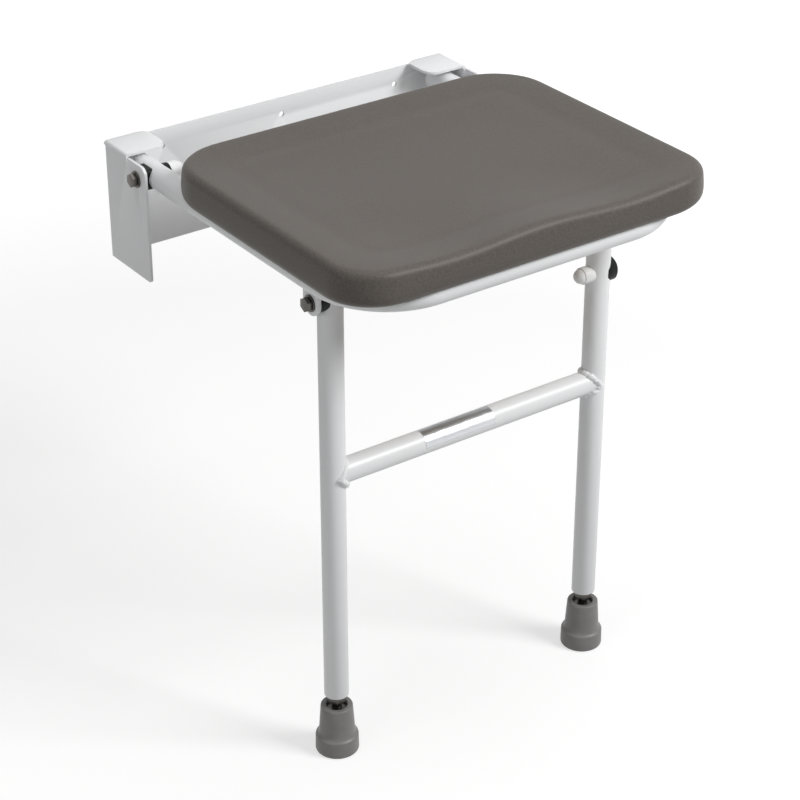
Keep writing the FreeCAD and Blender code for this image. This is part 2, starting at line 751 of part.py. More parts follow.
def save(name, pieces):
    """Write one node, as one solid or as a group of separate solids."""
    if not isinstance(pieces, list):
        pieces = [pieces]
    solids = []
    for piece in pieces:
        solids.extend(piece.Solids)
    shape = solids[0] if len(solids) == 1 else Part.makeCompound(solids)
    print(name, len(solids), "solids", round(shape.Volume), "mm3", "valid" if shape.isValid() else "INVALID")
    shape.exportStep("parts/" + name + ".step")


def main():
    os.makedirs("parts", exist_ok=True)
    tube_inner_x = side_tube_x - tube_radius
    leg_inner_x = leg_x - tube_radius
    save("wall_bracket", wall_bracket())
    save("seat_tube", seat_tube())
    save("tube_plugs", tube_plugs())
    save("leg_lugs", leg_lugs())
    save("front_angle", front_angle())
    save("rear_strap", rear_strap())
    save("pad_board", pad_board())
    save("pad_screws", pad_screws())
    save("seat_pad", seat_pad())
    save("wall_saddles", wall_saddles())
    save("wall_pivot_bolts", pivot_bolts(cheek_outer_x, tube_inner_x, wall_cap_stand_off, pivot_y, pivot_z))
    save("wall_pivot_washers", washers(cheek_outer_x, pivot_y, pivot_z))
    save("wall_pivot_nuts", nuts(tube_inner_x, wall_cap_stand_off, pivot_y, pivot_z))
    save("wall_cap_washers", wall_collars())
    save("wall_pivot_caps", wall_caps())
    save("leg_saddles", leg_saddles())
    save("leg_pivot_bolts", pivot_bolts(lug_outer_x, leg_inner_x, cap_washer_thickness, lug_y, lug_z))
    save("leg_pivot_washers", washers(lug_outer_x, lug_y, lug_z))
    save("leg_pivot_nuts", nuts(leg_inner_x, cap_washer_thickness, lug_y, lug_z))
    save("leg_cap_washers", cap_washers(leg_inner_x, lug_y, lug_z))
    save("leg_pivot_caps", leg_caps(lug_z))
    save("leg_tube_left", leg_tube(-1))
    save("leg_tube_right", leg_tube(1))
    save("crossbar", crossbar())
    save("leg_plugs", leg_plugs())
    save("leg_inserts", leg_inserts())
    save("leg_buffer", leg_buffer())
    save("buffer_bolt", buffer_bolt())
    save("buffer_nut", nuts(leg_inner_x, cap_washer_thickness, lug_y, buffer_z, (1,)))
    save("buffer_cap_washer", cap_washers(leg_inner_x, lug_y, buffer_z, (1,)))
    save("buffer_cap", leg_caps(buffer_z, (1,)))
    for side, word in ((-1, "left"), (1, "right")):
        save("foot_stud_" + word, foot_stud(side))
        save("foot_cup_" + word, foot_cup(side))
        save("foot_ferrule_" + word, foot_ferrule(side))


main()
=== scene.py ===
"""Fold down wall seat: the looks of a padded seat on a white tube frame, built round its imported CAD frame.

Lengths in the functions are millimetres and become metres where a mesh is made. The frame is the part's own:
+Z up, +Y into the wall, -Y out into the room.
"""
import json
import math

import bpy
from mathutils import Matrix, Vector, noise


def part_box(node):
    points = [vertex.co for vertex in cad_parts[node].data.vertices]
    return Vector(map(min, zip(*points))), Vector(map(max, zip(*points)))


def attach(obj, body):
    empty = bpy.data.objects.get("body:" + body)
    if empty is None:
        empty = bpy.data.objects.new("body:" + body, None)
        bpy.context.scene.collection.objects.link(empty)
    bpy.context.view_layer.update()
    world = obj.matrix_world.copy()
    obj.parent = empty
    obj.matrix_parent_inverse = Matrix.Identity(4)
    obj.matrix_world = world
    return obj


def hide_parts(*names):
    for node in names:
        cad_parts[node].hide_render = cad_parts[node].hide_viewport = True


bl_info = {
    "name": "Fold Down Wall Seat",
    "version": (1, 0, 0),
    "blender": (4, 5, 0),
    "location": "View3D > Sidebar > Wall Seat",
    "description": "Builds the visible pieces, finishes and studio of a fold down wall seat",
    "category": "Object",
}

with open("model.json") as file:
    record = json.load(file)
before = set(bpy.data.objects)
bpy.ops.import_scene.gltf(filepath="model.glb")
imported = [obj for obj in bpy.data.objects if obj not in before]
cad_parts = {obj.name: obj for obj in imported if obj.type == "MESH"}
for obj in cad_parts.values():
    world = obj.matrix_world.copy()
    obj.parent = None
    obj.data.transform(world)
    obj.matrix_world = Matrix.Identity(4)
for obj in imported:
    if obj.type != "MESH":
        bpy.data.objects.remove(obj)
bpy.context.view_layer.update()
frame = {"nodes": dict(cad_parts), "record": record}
nodes = frame["nodes"]

MM = 0.001
SIDES = (-1, 1)


def extent(node):
    """Lowest and highest corner of a CAD node, in millimetres."""
    low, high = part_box(node)
    return low / MM, high / MM


seat_low, seat_high = extent("seat_tube")
leg_low, leg_high = extent("leg_tube_right")
bar_low, bar_high = extent("crossbar")
ferrule_low, ferrule_high = extent("foot_ferrule_right")
cap_low, cap_high = extent("leg_pivot_caps")
buffer_low, buffer_high = extent("leg_buffer")
lug_low, lug_high = extent("leg_lugs")
saddle_low, saddle_high = extent("wall_saddles")
pad_low, pad_high = extent("seat_pad")
wall_cap_high = extent("wall_pivot_caps")[1]

TUBE_RADIUS = (leg_high.x - leg_low.x) / 2
TUBE_WALL = 1.6
PIVOT_Z = (saddle_low.z + saddle_high.z) / 2
PIVOT_Y = (saddle_low.y + saddle_high.y) / 2
SIDE_X = seat_high.x - TUBE_RADIUS
FRONT_Y = seat_low.y + TUBE_RADIUS
TAIL_Y = seat_high.y
LEG_X = (leg_low.x + leg_high.x) / 2
LEG_Y = (leg_low.y + leg_high.y) / 2
CROSSBAR_Z = (bar_low.z + bar_high.z) / 2
CAP_Z = (cap_low.z + cap_high.z) / 2
BUFFER_Z = (buffer_low.z + buffer_high.z) / 2
FLOOR_Z = ferrule_low.z
PAD_FOOT = pad_low.z - PIVOT_Z
PAD_CREST = pad_high.z - PIVOT_Z
PAD_BULGE = 11.8
PAD_RIM = 9.0
PAD_TUCK_TOP = 16

PIECE_EDGE = 0.25
WELD_GAP = 0.01
FLAT_DEGREES = 0.6
BEVEL_DEGREES = 40


# Colours and sizes a user would change


def colour(text):
    """Turns an sRGB hex value into a linear colour with alpha."""
    channels = [int(text[i:i + 2], 16) / 255 for i in (1, 3, 5)]
    return tuple(c / 12.92 if c <= 0.04045 else ((c + 0.055) / 1.055) ** 2.4 for c in channels) + (1.0,)


def length(name, description, default):
    """A length of the seat, given in millimetres."""
    return bpy.props.FloatProperty(name=name, description=description, default=default * MM, unit="LENGTH")


def tint(name, description, text):
    """A colour of the seat, given as sRGB hex."""
    return bpy.props.FloatVectorProperty(
        name=name, description=description, default=colour(text), size=4, subtype="COLOR", min=0, max=1)


class SeatSizes(bpy.types.PropertyGroup):
    frame_bend: length("Frame bend", "Centre line radius of the two bends of the seat tube", 76)
    pad_half_width: length("Pad half width", "Half the width of the pad where it meets the tube", 204.2)
    pad_front: length(
        "Pad front", "Distance from the wall to the pad's lower front edge", -pad_low.y - PAD_BULGE)
    pad_rear: length(
        "Pad rear", "Distance from the wall to the pad's lower rear edge", -pad_high.y + PAD_BULGE)
    pad_dish: length("Pad dish", "How far the middle of the seat lies below its rim", 8.5)
    thigh_wave: length("Thigh wave", "Depth of the two shallow hollows in the front rim", 5.0)
    weld_leg: length("Weld leg", "Height of the fillet weld at the crossbar", 4.0)
    edge_round: length("Edge round", "Rounding of sheet edges under the powder coat", 0.5)


class SeatColours(bpy.types.PropertyGroup):
    powder: tint("Powder coat", "White paint of the tubes and the bracket", "#EBECED")
    foam: tint("Pad", "Grey-brown skin of the moulded foam", "#5A5550")
    zinc: tint("Zinc", "Plating of bolts, washers and studs", "#5C5955")
    nylon: tint("Black nylon", "Saddles and plugs", "#101112")
    cap: tint("Cap", "White nut caps", "#F8F8F8")
    buffer: tint("Buffer", "Black rubber buffer", "#0D0E0F")
    ferrule: tint("Ferrule", "Grey rubber feet", "#7C7A79")
    foil: tint("Foil", "Bare metallised patch on the crossbar", "#C4C6C9")
    board: tint("Board", "Sealed plywood under the pad", "#A98C66")
    floor: tint("Floor", "Pale studio floor", "#B6B6B6")


def sizes():
    """The lengths set for the seat."""
    return bpy.context.scene.wall_seat_sizes


def tints():
    """The colours set for the seat."""
    return bpy.context.scene.wall_seat_colours


# Materials


def add_node(tree, kind, settings=None, **links):
    """Adds a shader node with its settings, by socket or by property, and links named sockets."""
    node = tree.nodes.new(kind)
    for key, value in (settings or {}).items():
        if key in node.inputs:
            node.inputs[key].default_value = value
        else:
            setattr(node, key, value)
    for key, source in links.items():
        tree.links.new(source, node.inputs[key.replace("_", " ")])
    return node


def finish_base(name, base, roughness, metallic=0.0, **sockets):
    """A new material with its principled shader and object coordinates ready."""
    material = bpy.data.materials.new(name)
    material.use_nodes = True
    tree = material.node_tree
    shader = tree.nodes["Principled BSDF"]
    shader.inputs["Base Color"].default_value = base
    shader.inputs["Roughness"].default_value = roughness
    shader.inputs["Metallic"].default_value = metallic
    for key, value in sockets.items():
        shader.inputs[key.replace("_", " ")].default_value = value
    coordinates = add_node(tree, "ShaderNodeTexCoord")
    material.diffuse_color = base
    return material, tree, shader, coordinates.outputs["Object"]


def grain(tree, place, size_mm, detail=2.0, rough=0.5):
    """Noise whose grains are about size_mm across."""
    return add_node(tree, "ShaderNodeTexNoise", {
        "Scale": 1 / (size_mm * MM), "Detail": detail, "Roughness": rough}, Vector=place)


def vary(tree, factor, low, high, from_low=0.3, from_high=0.7):
    """Turns a factor into a value between low and high."""
    node = add_node(tree, "ShaderNodeMapRange", {
        "From Min": from_low, "From Max": from_high, "To Min": low, "To Max": high}, Value=factor)
    return node.outputs["Result"]


def blend_colours(tree, factor, first, second):
    """Mixes two colours by a factor."""
    node = add_node(tree, "ShaderNodeMix", {"data_type": "RGBA"})
    tree.links.new(factor, node.inputs[0])
    node.inputs[6].default_value = first
    node.inputs[7].default_value = second
    return node.outputs[2]


def shaded(base, factor):
    """The same colour, lighter or darker."""
    return tuple(min(1.0, c * factor) for c in base[:3]) + (1.0,)


def roughen(tree, shader, height, distance_mm, strength=1.0):
    """Bumps the shader by a height."""
    bump = add_node(tree, "ShaderNodeBump", {
        "Strength": strength, "Distance": distance_mm * MM}, Height=height)
    tree.links.new(bump.outputs["Normal"], shader.inputs["Normal"])


def mottle(tree, shader, base, factor, darkest, lightest):
    """Lets the base colour wander between two of its shades."""
    mixed = blend_colours(tree, vary(tree, factor, 0, 1), shaded(base, darkest), shaded(base, lightest))
    tree.links.new(mixed, shader.inputs["Base Color"])


def powder_coat():
    """Polyester powder coat, sprayed and baked: satin white with a soft orange peel of about 1.5 mm."""
    base = tints().powder
    material, tree, shader, place = finish_base("polyester_powder_coat", base, 0.36, IOR=1.5)
    peel = grain(tree, place, 1.6, 1.0).outputs["Fac"]
    mottle(tree, shader, base, grain(tree, place, 60, 2.0).outputs["Fac"], 0.985, 1.0)
    tree.links.new(vary(tree, peel, 0.33, 0.40), shader.inputs["Roughness"])
    roughen(tree, shader, peel, 0.02)
    return material


def foam_skin():
    """Integral-skin polyurethane foam: matt, finely stippled by its mould, slightly mottled."""
    base = tints().foam
    material, tree, shader, place = finish_base(
        "integral_skin_foam", base, 0.42, IOR=1.48, Specular_IOR_Level=0.2)
    stipple = grain(tree, place, 0.9, 2.0, 0.6).outputs["Fac"]
    fleck = grain(tree, place, 2.2, 3.0, 0.65).outputs["Fac"]
    cloud = grain(tree, place, 45, 3.0).outputs["Fac"]
    cloud_share = 0.25
    flecked = blend_colours(tree, vary(tree, fleck, 0, 1, 0.35, 0.65), shaded(base, 0.80), shaded(base, 1.20))
    clouded = blend_colours(tree, vary(tree, cloud, 0, 1), shaded(base, 0.95), shaded(base, 1.04))
    both = add_node(tree, "ShaderNodeMix", {"data_type": "RGBA"})
    both.inputs[0].default_value = cloud_share
    tree.links.new(flecked, both.inputs[6])
    tree.links.new(clouded, both.inputs[7])
    tree.links.new(both.outputs[2], shader.inputs["Base Color"])
    tree.links.new(vary(tree, fleck, 0.38, 0.50), shader.inputs["Roughness"])
    roughen(tree, shader, stipple, 0.12, 0.8)
    return material


def zinc_plate():
    """Bright zinc plated steel: a cool metal with cloudy patches and fine scratches."""
    base = tints().zinc
    material, tree, shader, place = finish_base("zinc_plated_steel", base, 0.32, 1.0)
    cloud = grain(tree, place, 4.0, 3.0).outputs["Fac"]
    mottle(tree, shader, base, cloud, 0.82, 1.0)
    tree.links.new(vary(tree, cloud, 0.26, 0.42), shader.inputs["Roughness"])
    roughen(tree, shader, grain(tree, place, 0.5, 2.0).outputs["Fac"], 0.02)
    return material


def moulded(name, base, roughness, pit_mm, depth_mm, gloss):
    """A moulded plastic or rubber with the fine texture of its mould."""
    material, tree, shader, place = finish_base(name, base, roughness, Specular_IOR_Level=gloss)
    texture = grain(tree, place, pit_mm, 2.0).outputs["Fac"]
    mottle(tree, shader, base, grain(tree, place, 12, 2.0).outputs["Fac"], 0.93, 1.05)
    tree.links.new(vary(tree, texture, roughness - 0.05, roughness + 0.06), shader.inputs["Roughness"])
    roughen(tree, shader, texture, depth_mm)
    return material


def foil_film():
    """Metallised polyester film, bare: streaks drawn along the bar, slight waves from sticking it by hand."""
    base = tints().foil
    material, tree, shader, place = finish_base("metallised_polyester_film", base, 0.33, 1.0)
    mapping = add_node(tree, "ShaderNodeMapping", {"Scale": (0.06, 1, 1)}, Vector=place)
    streak = grain(tree, mapping.outputs["Vector"], 0.7, 3.0).outputs["Fac"]
    mottle(tree, shader, base, streak, 0.9, 1.05)
    tree.links.new(vary(tree, streak, 0.28, 0.40), shader.inputs["Roughness"])
    roughen(tree, shader, grain(tree, place, 9, 1.0).outputs["Fac"], 0.05)
    return material


def plywood():
    """Sealed birch plywood: stretched grain 3 mm wide along X, with a satin lacquer."""
    base = tints().board
    material, tree, shader, place = finish_base("sealed_plywood", base, 0.45)
    mapping = add_node(tree, "ShaderNodeMapping", {"Scale": (0.08, 1, 1)}, Vector=place)
    figure = grain(tree, mapping.outputs["Vector"], 3.0, 4.0, 0.6).outputs["Fac"]
    mottle(tree, shader, base, figure, 0.72, 1.1)
    roughen(tree, shader, figure, 0.06)
    return material


def seen_rays(tree):
    """One for rays from the camera, off gloss and through clear pieces, and nothing for the rest."""
    path = add_node(tree, "ShaderNodeLightPath")
    seen = path.outputs["Is Camera Ray"]
    for name in ("Is Glossy Ray", "Is Transmission Ray"):
        either = add_node(tree, "ShaderNodeMath", {"operation": "MAXIMUM"})
        tree.links.new(seen, either.inputs[0])
        tree.links.new(path.outputs[name], either.inputs[1])
        seen = either.outputs[0]
    return seen


def studio_floor():
    """Matt pale paper: white to the camera and in reflections, whiter far off, the seat's shadow kept."""
    base = tints().floor
    material, tree, shader, place = finish_base("studio_paper", base, 0.9)
    fibre = grain(tree, place, 30, 2.0).outputs["Fac"]
    tree.links.new(blend_colours(tree, fibre, shaded(base, 0.995), base), shader.inputs["Base Color"])
    reach = add_node(tree, "ShaderNodeVectorMath", {"operation": "LENGTH"}, Vector=place)
    glow = vary(tree, reach.outputs["Value"], 0.60, 1.0, 0.9, 2.0)
    strength = add_node(tree, "ShaderNodeMath", {"operation": "MULTIPLY"})
    tree.links.new(seen_rays(tree), strength.inputs[0])
    tree.links.new(glow, strength.inputs[1])
    shader.inputs["Emission Color"].default_value = (1, 1, 1, 1)
    tree.links.new(strength.outputs[0], shader.inputs["Emission Strength"])
    return material


def material(name):
    """The finish of that name, made once."""
    made = bpy.data.materials.get(MATERIAL_NAMES[name])
    if made is not None:
        return made
    colours = tints()
    makers = {
        "powder_coat_white": powder_coat,
        "pad_foam": foam_skin,
        "zinc_steel": zinc_plate,
        "black_nylon": lambda: moulded("moulded_nylon", colours.nylon, 0.45, 0.8, 0.03, 0.15),
        "white_cap": lambda: moulded("moulded_polyethylene", colours.cap, 0.42, 2.5, 0.02, 0.3),
        "black_rubber": lambda: moulded("moulded_rubber", colours.buffer, 0.48, 0.7, 0.04, 0.15),
        "grey_rubber": lambda: moulded("grey_moulded_rubber", colours.ferrule, 0.42, 1.3, 0.12, 0.45),
        "board": plywood,
        "foil": foil_film,
        "floor": studio_floor,
    }
    return makers[name]()


MATERIAL_NAMES = {
    "powder_coat_white": "polyester_powder_coat",
    "pad_foam": "integral_skin_foam",
    "zinc_steel": "zinc_plated_steel",
    "black_nylon": "moulded_nylon",
    "white_cap": "moulded_polyethylene",
    "black_rubber": "moulded_rubber",
    "grey_rubber": "grey_moulded_rubber",
    "board": "sealed_plywood",
    "foil": "metallised_polyester_film",
    "floor": "studio_paper",
}


# Modelling helpers


def begin():
    """Back to object mode with nothing selected, so that the next operator acts on the new piece alone."""
    if bpy.context.object is not None and bpy.context.object.mode != "OBJECT":
        bpy.ops.object.mode_set(mode="OBJECT")
    bpy.ops.object.select_all(action="DESELECT")


def take(piece):
    """Makes one piece the only selected and the active one."""
    begin()
    piece.select_set(True)
    bpy.context.view_layer.objects.active = piece


def edit(mode="FACE"):
    """Opens the active piece for editing with all of it selected."""
    bpy.ops.object.mode_set(mode="EDIT")
    bpy.ops.mesh.select_mode(type=mode)
    bpy.ops.mesh.select_all(action="SELECT")


def leave():
    """Back to object mode."""
    bpy.ops.object.mode_set(mode="OBJECT")


def apply_modifier(piece, name, kind, **settings):
    """Adds a modifier with its settings and applies it."""
    take(piece)
    modifier = piece.modifiers.new(name, kind)
    for key, value in settings.items():
        setattr(modifier, key, value)
    bpy.ops.object.modifier_apply(modifier=modifier.name)


def smooth(piece, degrees):
    """Shades a piece smooth, but for edges sharper than an angle."""
    take(piece)
    bpy.ops.object.shade_smooth_by_angle(angle=math.radians(degrees))


def finish_piece(piece, body, slot, replaced, degrees):
    """Smooths a piece, gives it its finish, and hands it to the frame."""
    smooth(piece, degrees)
    piece.data.materials.clear()
    piece.data.materials.append(material(slot))
    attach(piece, body)
    if replaced:
        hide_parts(*replaced)


def face_outwards():
    """Turns all faces of the piece in edit mode outwards, and goes back to object mode."""
    bpy.ops.mesh.select_all(action="SELECT")
    bpy.ops.mesh.normals_make_consistent(inside=False)
    leave()


def named(piece, name):
    """Gives a piece and its mesh the same name."""
    piece.name = name
    piece.data.name = name


def carried(name, node, edge_mm, segments=2):
    """A clean copy of a CAD node, its sharp edges rounded as the coat or the mould rounds them."""
    begin()
    piece = nodes[node].copy()
    piece.data = nodes[node].data.copy()
    named(piece, name)
    piece.parent = None
    for key in list(piece.keys()):
        del piece[key]
    piece.hide_render = False
    piece.hide_viewport = False
    bpy.context.scene.collection.objects.link(piece)
    take(piece)
    if piece.data.has_custom_normals:
        bpy.ops.mesh.customdata_custom_splitnormals_clear()
    edit()
    bpy.ops.mesh.remove_doubles(threshold=WELD_GAP * MM)
    face_outwards()
    edit()
    bpy.ops.mesh.dissolve_limited(angle_limit=math.radians(FLAT_DEGREES))
    leave()
    if edge_mm > 0:
        apply_modifier(piece, "edge", "BEVEL", width=edge_mm * MM, segments=segments, limit_method="ANGLE",
                       angle_limit=math.radians(BEVEL_DEGREES), use_clamp_overlap=True)
    return piece


def lathed(name, rings, place, along, steps):
    """Raises a disc through rings of (radius, height) in millimetres, along a direction from place."""
    begin()
    radius, height = rings[0]
    bpy.ops.mesh.primitive_circle_add(
        vertices=steps, radius=radius * MM, fill_type="NGON", location=(0, 0, height * MM))
    piece = bpy.context.object
    bpy.ops.object.transform_apply(location=True, rotation=True, scale=True)
    edit()
    for next_radius, next_height in rings[1:]:
        rise = (next_height - height) * MM
        bpy.ops.mesh.extrude_region_move(TRANSFORM_OT_translate={"value": (0, 0, rise)})
        share = next_radius / radius
        if abs(share - 1) > 1e-6:
            bpy.ops.transform.resize(value=(share, share, 1), center_override=(0, 0, next_height * MM))
        radius, height = next_radius, next_height
    face_outwards()
    named(piece, name)
    turn = Vector((0, 0, 1)).rotation_difference(Vector(along))
    piece.data.transform(Matrix.Translation(Vector(place) * MM) @ turn.to_matrix().to_4x4())
    return piece


def arc(centre, radius, start, end, count):
    """Points (radius from axis, height) on an arc of a profile, from a start to an end angle in degrees."""
    points = []
    for i in range(count + 1):
        angle = math.radians(start + (end - start) * i / count)
        points.append((max(centre[0] + radius * math.cos(angle), 0.05), centre[1] + radius * math.sin(angle)))
    return points


def joined(name, pieces):
    """One piece made of several shells."""
    begin()
    for piece in pieces:
        piece.select_set(True)
    bpy.context.view_layer.objects.active = pieces[0]
    bpy.ops.object.join()
    named(pieces[0], name)
    return pieces[0]


# Pieces


def wall_bracket_piece():
    """The folded sheet with its edges rounded under the coat."""
    piece = carried("bracket_sheet", "wall_bracket", sizes().edge_round / MM)
    finish_piece(piece, "wall_bracket", "powder_coat_white", ["wall_bracket"], 30)


def seat_tube_piece():
    """One ring of the tube, drawn forward, spun round two bends and drawn back, then given its wall."""
    bend = sizes().frame_bend / MM
    begin()
    bpy.ops.mesh.primitive_circle_add(
        vertices=56, radius=TUBE_RADIUS * MM, fill_type="NOTHING",
        location=(-SIDE_X * MM, TAIL_Y * MM, PIVOT_Z * MM), rotation=(math.pi / 2, 0, 0))
    piece = bpy.context.object
    bpy.ops.object.transform_apply(location=True, rotation=True, scale=True)
    edit("VERT")
    bend_y = FRONT_Y + bend
    bend_x = SIDE_X - bend
    bpy.ops.mesh.extrude_region_move(TRANSFORM_OT_translate={"value": (0, (bend_y - TAIL_Y) * MM, 0)})
    bpy.ops.mesh.spin(
        steps=28, angle=math.pi / 2, center=(-bend_x * MM, bend_y * MM, PIVOT_Z * MM), axis=(0, 0, -1))
    bpy.ops.mesh.extrude_region_move(TRANSFORM_OT_translate={"value": (2 * bend_x * MM, 0, 0)})
    bpy.ops.mesh.spin(
        steps=28, angle=math.pi / 2, center=(bend_x * MM, bend_y * MM, PIVOT_Z * MM), axis=(0, 0, -1))
    bpy.ops.mesh.extrude_region_move(TRANSFORM_OT_translate={"value": (0, (TAIL_Y - bend_y) * MM, 0)})
    bpy.ops.mesh.select_all(action="SELECT")
    bpy.ops.mesh.remove_doubles(threshold=WELD_GAP * MM)
    face_outwards()
    named(piece, "seat_frame_tube")
    apply_modifier(piece, "wall", "SOLIDIFY", thickness=TUBE_WALL * MM, offset=-1)
    finish_piece(piece, "seat", "powder_coat_white", ["seat_tube"], 40)


def leg_frame_tubes():
    """Both legs and the crossbar between them, whose ends stay as they are cut."""
    for word in ("left", "right"):
        piece = carried("leg_" + word, "leg_tube_" + word, 0.4)
        finish_piece(piece, "leg_frame", "powder_coat_white", ["leg_tube_" + word], 30)
    piece = carried("leg_crossbar", "crossbar", 0)
    finish_piece(piece, "leg_frame", "powder_coat_white", ["crossbar"], 30)


def saddle_bead(name, side, swell, ripple, seed):
    """A weld bead round the end of the crossbar: a ring whose points follow the joint of two equal tubes."""
    begin()
    bpy.ops.mesh.primitive_torus_add(
        major_segments=160, minor_segments=14, major_radius=1.0, minor_radius=0.25)
    piece = bpy.context.object
    for vertex in piece.data.vertices:
        around = math.atan2(vertex.co.y, vertex.co.x)
        out = math.hypot(vertex.co.x, vertex.co.y) - 1.0
        minor_angle = math.atan2(vertex.co.z, out)
        across = TUBE_RADIUS * math.sin(around)
        up = TUBE_RADIUS * math.cos(around)
        from_axis = math.sqrt(max(TUBE_RADIUS ** 2 - across ** 2, 0))
        thick = swell(around) * (1 + ripple * noise.noise(Vector((around * 7, seed, 0))))
        normal = Vector((0, math.sin(around), math.cos(around)))
        along = Vector((-side, 0, 0))
        centre = Vector((side * (LEG_X - from_axis), LEG_Y + across, CROSSBAR_Z + up))
        point = centre + (normal * math.cos(minor_angle) + along * math.sin(minor_angle)) * thick
        vertex.co = point * MM
    named(piece, name)
    take(piece)
    edit()
    face_outwards()
    return piece


def weld_beads():
    """The smooth bead at the left leg, thicker below, and the rougher one at the right."""
    size = sizes().weld_leg / MM
    left = saddle_bead("crossbar_weld_left", -1, lambda a: size * (0.95 - 0.25 * math.cos(a)), 0.10, 3.1)
    finish_piece(left, "leg_frame", "powder_coat_white", (), 60)
    right = saddle_bead("crossbar_weld_right", 1, lambda a: size * (0.85 + 0.1 * math.cos(a)), 0.45, 8.4)
    finish_piece(right, "leg_frame", "powder_coat_white", (), 60)


def lug_bead(side, face):
    """A rippled weld bead along the top of a lug, on one of its two faces."""
    thickness, bead_radius, swell, steps = 4.0, 2.2, 1.10, 14
    run = lug_high.y - lug_low.y - 3
    begin()
    bpy.ops.mesh.primitive_circle_add(vertices=12, radius=bead_radius * MM, fill_type="NGON")
    bead = bpy.context.object
    edit()
    for i in range(steps):
        bpy.ops.mesh.extrude_region_move(TRANSFORM_OT_translate={"value": (0, 0, run / steps * MM)})
        ripple = swell if i % 2 == 0 else 1 / swell
        reached = (i + 1) * run / steps * MM
        bpy.ops.transform.resize(value=(ripple, ripple, 1), center_override=(0, 0, reached))
    face_outwards()
    x = side * (lug_high.x - thickness / 2) + face * (thickness / 2 + 0.3)
    drop = math.sqrt(max(TUBE_RADIUS ** 2 - (abs(x) - SIDE_X) ** 2, 0))
    bead.data.transform(
        Matrix.Translation(Vector((x, lug_high.y - 1.5, PIVOT_Z - drop - 0.2)) * MM)
        @ Matrix.Rotation(math.pi / 2, 4, "X"))
    return bead


def lug_pieces():
    """The lugs under the side tubes and the beads that hold them."""
    piece = carried("leg_lug_plates", "leg_lugs", 0.5)
    finish_piece(piece, "seat", "powder_coat_white", ["leg_lugs"], 30)
    beads = joined("lug_welds", [lug_bead(side, face) for side in SIDES for face in SIDES])
    finish_piece(beads, "seat", "powder_coat_white", (), 60)


def cap_profile(sunk):
    """Skirt, small step and domed end of a nut cap, from its open end outwards."""
    skirt, dome, height = 8.9, 7.8, 9.6
    return ([(skirt, -sunk), (skirt, height - 0.6)] + arc((skirt - 0.6, height - 0.6), 0.6, 20, 90, 3)
            + [(dome + 0.05, height)] + arc((0, height), dome, 6, 88, 12))


def nut_cap_pieces():
    """The white caps on the nuts of the wall pivots, the leg pivots and the buffer."""
    leg_face = LEG_X - TUBE_RADIUS
    wall_face = wall_cap_high.x - 0.02
    groups = (("wall_nut_caps", wall_face, PIVOT_Y, PIVOT_Z, SIDES, "seat", "wall_pivot_caps", 0.0),
              ("leg_nut_caps", leg_face, LEG_Y, CAP_Z, SIDES, "leg_frame", "leg_pivot_caps", 3.0),
              ("buffer_nut_cap", leg_face, LEG_Y, BUFFER_Z, (1,), "leg_frame", "buffer_cap", 3.0))
    for name, face, y, z, sides, body, node, sunk in groups:
        caps = [lathed(name, cap_profile(sunk), (side * face, y, z), (-side, 0, 0), 48) for side in sides]
        piece = joined(name, caps) if len(caps) > 1 else caps[0]
        finish_piece(piece, body, "white_cap", [node], 35)


def buffer_piece():
    """Rubber buffer: a short skirt that runs into the leg, and a dome."""
    face = LEG_X + TUBE_RADIUS
    stand = buffer_high.x - face
    radius, skirt, sunk = 13.0, 2.6, 9.0
    rise = stand - skirt
    dome = (radius ** 2 + rise ** 2) / (2 * rise)
    start = math.degrees(math.acos(radius / dome))
    profile = [(radius, -sunk), (radius, skirt)] + arc((0, stand - dome), dome, start + 3, 88, 12)
    piece = lathed("leg_rubber_buffer", profile, (face, LEG_Y, BUFFER_Z), (1, 0, 0), 56)
    finish_piece(piece, "leg_frame", "black_rubber", ["leg_buffer"], 50)


def ferrule_profile():
    """Tapered sleeve, rounded flare and base band, then back over the lip and down the bore."""
    top = ferrule_high.z - FLOOR_Z
    outside = ([(1.0, 0.0), (20.4, 0.0)] + arc((20.5, 2.2), 2.2, -80, 0, 4)
               + [(22.6, 8.0), (22.4, 17.6)] + arc((20.2, 17.8), 2.1, 5, 70, 4)
               + [(19.9, 21.0), (19.2, 23.0), (18.7, 25.4), (18.5, 28.0), (17.6, 42.0)])
    lip = arc((15.3, top - 1.4), 1.4, 5, 90, 4) + [(12.2, top)] + arc((12.2, top - 1.4), 1.4, 90, 175, 3)
    return outside + lip + [(10.8, 24.0), (10.8, 12.0), (1.0, 12.0)]


def foot_pieces():
    """The rubber ferrules with their steel cups and threaded studs."""
    for side, word in ((-1, "left"), (1, "right")):
        place = (side * LEG_X, LEG_Y, FLOOR_Z)
        piece = lathed("foot_rubber_" + word, ferrule_profile(), place, (0, 0, 1), 72)
        finish_piece(piece, "foot_" + word, "grey_rubber", ["foot_ferrule_" + word], 35)
        piece = carried("foot_steel_cup_" + word, "foot_cup_" + word, 0.4)
        finish_piece(piece, "foot_" + word, "zinc_steel", ["foot_cup_" + word], 30)
        piece = carried("foot_threaded_stud_" + word, "foot_stud_" + word, 0.3)
        finish_piece(piece, "stud_" + word, "zinc_steel", ["foot_stud_" + word], 30)


def saddle_pieces():
    """Nylon saddles at the pivots and the collars under the wall caps."""
    piece = carried("wall_nylon_saddles", "wall_saddles", 0.6, 3)
    finish_piece(piece, "seat", "black_nylon", ["wall_saddles"], 30)
    piece = carried("leg_nylon_saddles", "leg_saddles", 0.5, 3)
    finish_piece(piece, "leg_frame", "black_nylon", ["leg_saddles"], 30)
    piece = carried("wall_nylon_washers", "wall_cap_washers", 0.3)
    finish_piece(piece, "seat", "black_nylon", ["wall_cap_washers"], 30)


